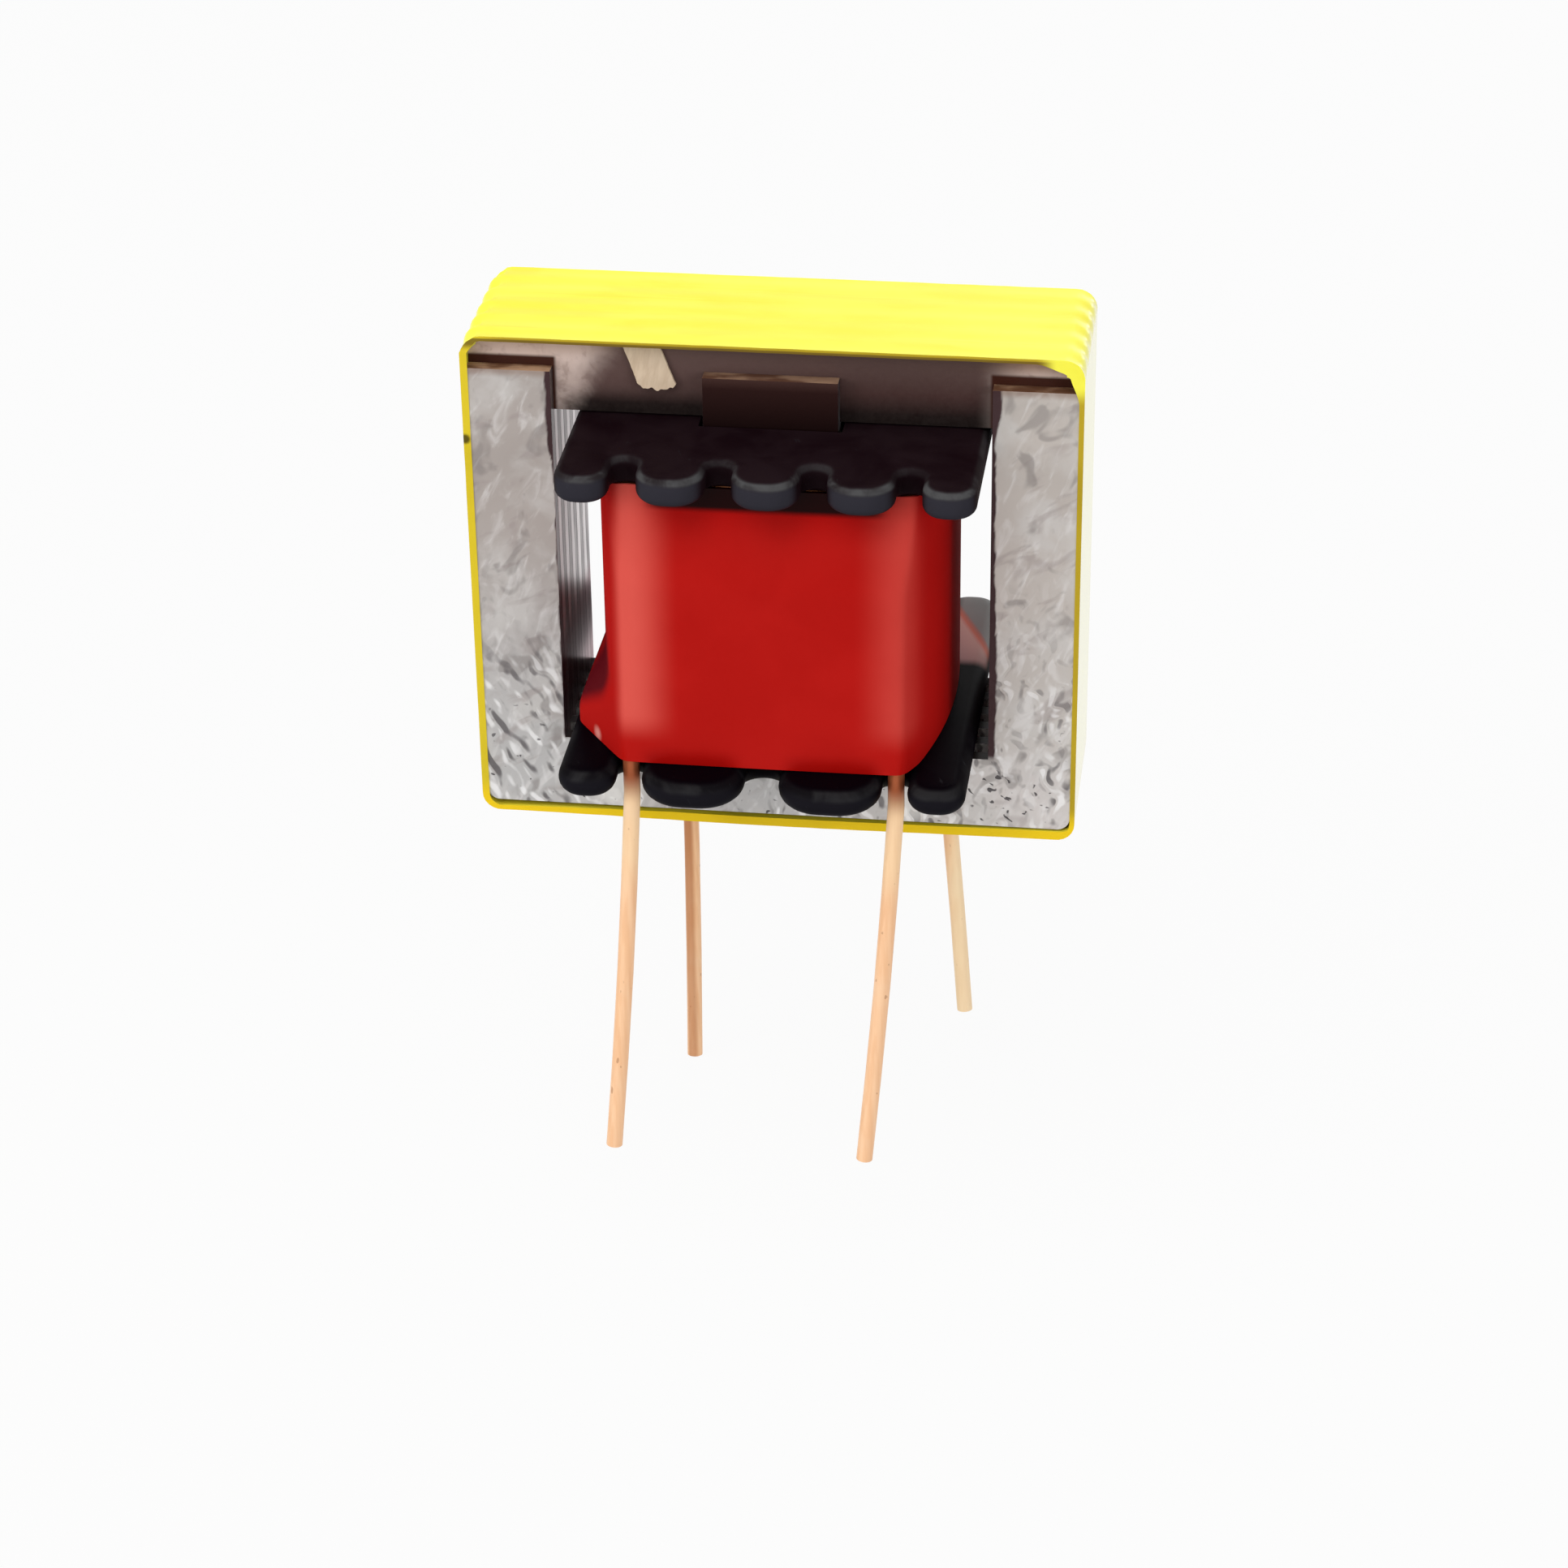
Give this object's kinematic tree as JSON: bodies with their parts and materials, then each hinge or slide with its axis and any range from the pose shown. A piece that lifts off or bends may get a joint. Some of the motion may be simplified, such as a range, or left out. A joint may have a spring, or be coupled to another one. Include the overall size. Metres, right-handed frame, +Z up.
{
  "type": "speaker choke",
  "caption": "Small through-hole audio choke: interleaved E-sheet core, black lobed bobbin, red-taped coil, yellow core band and bare copper leads.",
  "frame": {"origin": "centre of the underside of the core band, where the part sits on a board", "axes": "+X to the right seen from the front, +Y to the back, +Z up; the leads run down below z = 0"},
  "size_m": [0.0142, 0.0108, 0.0222],
  "materials": {
    "silicon_steel": "mottled mill scale with fine pits",
    "bobbin_moulding": "satin moulding",
    "enamelled_wire": "enamelled copper",
    "interlayer_film": "clear amber film",
    "red_tape": "satin film tape",
    "yellow_tape": "satin film tape",
    "cream_film": "matt film, torn end",
    "bare_copper": "bare bright copper"
  },
  "bodies": {
    "root": {"lamination_01": "silicon_steel", "lamination_02": "silicon_steel", "lamination_03": "silicon_steel", "lamination_04": "silicon_steel", "lamination_05": "silicon_steel", "lamination_06": "silicon_steel", "lamination_07": "silicon_steel", "lamination_08": "silicon_steel", "lamination_09": "silicon_steel", "lamination_10": "silicon_steel", "lamination_11": "silicon_steel", "bobbin": "bobbin_moulding", "inner_winding": "enamelled_wire", "interlayer_tape": "interlayer_film", "outer_winding": "enamelled_wire", "winding_tape": "red_tape", "core_band": "yellow_tape", "insulation_tail": "cream_film", "lead_front_left": "bare_copper", "lead_front_right": "bare_copper", "lead_rear_left": "bare_copper", "lead_rear_right": "bare_copper"}
  },
  "joints": []
}
